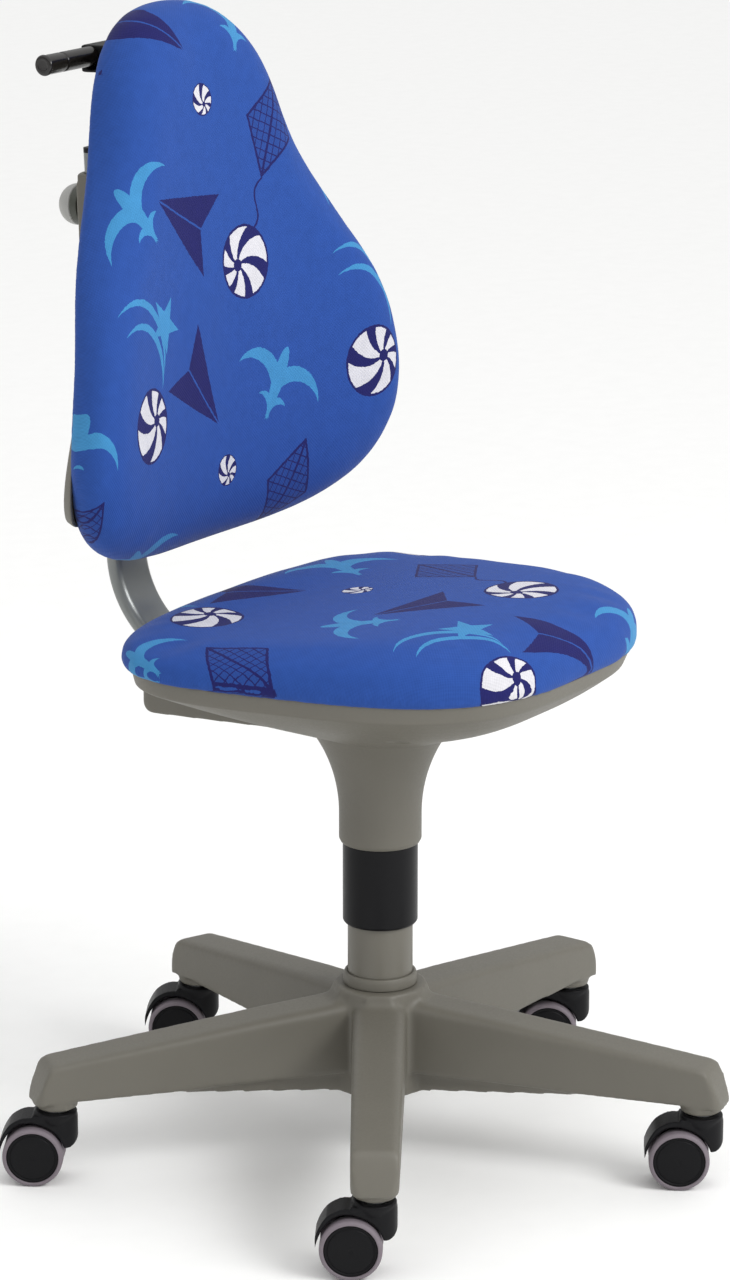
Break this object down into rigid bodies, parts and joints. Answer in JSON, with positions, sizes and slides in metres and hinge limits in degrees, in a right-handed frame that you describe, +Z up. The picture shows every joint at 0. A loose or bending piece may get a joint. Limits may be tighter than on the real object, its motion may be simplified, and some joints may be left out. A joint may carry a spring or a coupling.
{
  "type": "swivel chair",
  "caption": "Armless swivel chair with a pear-shaped padded back on a curved bar, padded seat, covered gas lift and a five-arm castor base.",
  "frame": {"origin": "on the floor, under the column's axis", "axes": "+Z up along the column; -Y the way the chair faces; +X the sitter's left"},
  "size_m": [0.5621, 0.5999, 0.9248],
  "materials": {
    "frame_plastic": "satin moulded",
    "column_paint": "satin powder coat",
    "black_plastic": "satin moulded",
    "gloss_black": "glossy moulded",
    "olive_plastic": "satin moulded",
    "knob_plastic": "satin moulded",
    "white_plastic": "natural nylon",
    "red_plastic": "moulded",
    "tread_rubber": "soft matte",
    "black_rubber": "matte",
    "bar_steel": "satin metallic paint",
    "black_steel": "gloss black paint",
    "bright_steel": "ground and zinc plated",
    "plate_steel": "zinc plated",
    "plywood": "unfinished beech plywood",
    "blue_fabric": "woven upholstery cloth"
  },
  "bodies": {
    "base": {"base_star": "frame_plastic", "stem_sleeves": "bright_steel", "collar_ring": "frame_plastic", "column_tube": "column_paint", "guide_bush": "white_plastic", "thrust_bearing": "bright_steel"},
    "spindle": {"piston_rod": "bright_steel", "piston": "bright_steel", "buffer_ring": "black_rubber", "rod_clip": "bright_steel"},
    "mid_cover": {"mid_tube": "black_plastic"},
    "seat": {"gas_cylinder": "black_steel", "cylinder_seal": "black_rubber", "upper_cone": "frame_plastic", "mechanism_plate": "plate_steel", "seat_pan": "frame_plastic", "seat_board": "plywood", "seat_cushion": "blue_fabric", "seat_screws": "bright_steel", "lever_pin": "bright_steel"},
    "lever": {"release_lever": "black_steel", "lever_grip": "black_plastic"},
    "button": {"release_button": "red_plastic"},
    "bar": {"back_bar": "bar_steel", "bar_cap": "black_plastic"},
    "depth_clamp": {"depth_screw": "bright_steel", "depth_knob": "black_plastic"},
    "back": {"back_shell": "frame_plastic", "back_board": "plywood", "back_cushion": "blue_fabric", "back_housing": "frame_plastic", "back_screws": "bright_steel", "clamp_collar": "olive_plastic", "handle_bracket": "gloss_black", "handle_bar": "gloss_black", "handle_caps": "gloss_black"},
    "clamp": {"clamp_screw": "bright_steel", "clamp_knob": "knob_plastic"},
    "castor_1_fork": {"castor_1_hood": "black_plastic", "castor_1_pins": "bright_steel"},
    "castor_1_wheel": {"castor_1_wheels": "black_plastic", "castor_1_tyres": "tread_rubber"},
    "castor_2_fork": {"castor_2_hood": "black_plastic", "castor_2_pins": "bright_steel"},
    "castor_2_wheel": {"castor_2_wheels": "black_plastic", "castor_2_tyres": "tread_rubber"},
    "castor_3_fork": {"castor_3_hood": "black_plastic", "castor_3_pins": "bright_steel"},
    "castor_3_wheel": {"castor_3_wheels": "black_plastic", "castor_3_tyres": "tread_rubber"},
    "castor_4_fork": {"castor_4_hood": "black_plastic", "castor_4_pins": "bright_steel"},
    "castor_4_wheel": {"castor_4_wheels": "black_plastic", "castor_4_tyres": "tread_rubber"},
    "castor_5_fork": {"castor_5_hood": "black_plastic", "castor_5_pins": "bright_steel"},
    "castor_5_wheel": {"castor_5_wheels": "black_plastic", "castor_5_tyres": "tread_rubber"}
  },
  "joints": [
    {"name": "seat_swivel", "type": "hinge", "parent": "base", "child": "spindle", "pos_m": [0, 0, 0.06], "axis": [0, 0, 1], "continuous": true},
    {"name": "seat_lift", "type": "slide", "parent": "spindle", "child": "seat", "axis": [0, 0, 1], "range_m": [-0.08, 0.05]},
    {"name": "mid_cover_slide", "type": "slide", "parent": "base", "child": "mid_cover", "axis": [0, 0, 1], "range_m": [-0.04, 0.025]},
    {"name": "lever_pull", "type": "hinge", "parent": "seat", "child": "lever", "pos_m": [0.045, 0, 0.4105], "axis": [0, -1, 0], "range_deg": [0, 4.46], "stiffness_Nm_per_rad": 4, "springref_deg": -5.73},
    {"name": "button_press", "type": "slide", "parent": "seat", "child": "button", "axis": [0, 0, -1], "range_m": [0, 0.00351], "stiffness_N_per_m": 200, "springref_m": -0.002},
    {"name": "depth_slide", "type": "slide", "parent": "seat", "child": "bar", "axis": [0, 1, 0], "range_m": [-0.03, 0.02]},
    {"name": "depth_knob_turn", "type": "hinge", "parent": "seat", "child": "depth_clamp", "pos_m": [0.045, 0.15, 0.3882], "axis": [1, 0, 0], "range_deg": [-360, 0]},
    {"name": "back_slide", "type": "slide", "parent": "bar", "child": "back", "axis": [0, 0.0523, 0.9986], "range_m": [-0.025, 0.04]},
    {"name": "clamp_turn", "type": "hinge", "parent": "back", "child": "clamp", "pos_m": [0, 0.26801, 0.75451], "axis": [0, 0.9986, -0.0523], "range_deg": [-360, 0]},
    {"name": "castor_1_swivel", "type": "hinge", "parent": "base", "child": "castor_1_fork", "pos_m": [-0.22896, -0.14869, 0.06], "axis": [0, 0, 1], "continuous": true},
    {"name": "castor_1_spin", "type": "hinge", "parent": "castor_1_fork", "child": "castor_1_wheel", "pos_m": [-0.2385, -0.13342, 0.0245], "axis": [-0.848, -0.5299, 0], "continuous": true},
    {"name": "castor_2_swivel", "type": "hinge", "parent": "base", "child": "castor_2_fork", "pos_m": [0.07066, -0.2637, 0.06], "axis": [0, 0, 1], "continuous": true},
    {"name": "castor_2_spin", "type": "hinge", "parent": "castor_2_fork", "child": "castor_2_wheel", "pos_m": [0.06112, -0.24843, 0.0245], "axis": [-0.848, -0.5299, 0], "continuous": true},
    {"name": "castor_3_swivel", "type": "hinge", "parent": "base", "child": "castor_3_fork", "pos_m": [0.27263, -0.01429, 0.06], "axis": [0, 0, 1], "continuous": true},
    {"name": "castor_3_spin", "type": "hinge", "parent": "castor_3_fork", "child": "castor_3_wheel", "pos_m": [0.26309, 0.00098, 0.0245], "axis": [-0.848, -0.5299, 0], "continuous": true},
    {"name": "castor_4_swivel", "type": "hinge", "parent": "base", "child": "castor_4_fork", "pos_m": [0.09783, 0.25487, 0.06], "axis": [0, 0, 1], "continuous": true},
    {"name": "castor_4_spin", "type": "hinge", "parent": "castor_4_fork", "child": "castor_4_wheel", "pos_m": [0.0883, 0.27013, 0.0245], "axis": [-0.848, -0.5299, 0], "continuous": true},
    {"name": "castor_5_swivel", "type": "hinge", "parent": "base", "child": "castor_5_fork", "pos_m": [-0.21216, 0.1718, 0.06], "axis": [0, 0, 1], "continuous": true},
    {"name": "castor_5_spin", "type": "hinge", "parent": "castor_5_fork", "child": "castor_5_wheel", "pos_m": [-0.2217, 0.18707, 0.0245], "axis": [-0.848, -0.5299, 0], "continuous": true}
  ],
  "couplings": [
    {"joint": "mid_cover_slide", "follows": "seat_lift", "ratio": 0.5},
    {"joint": "button_press", "follows": "lever_pull", "m_per_rad": 0.045}
  ]
}
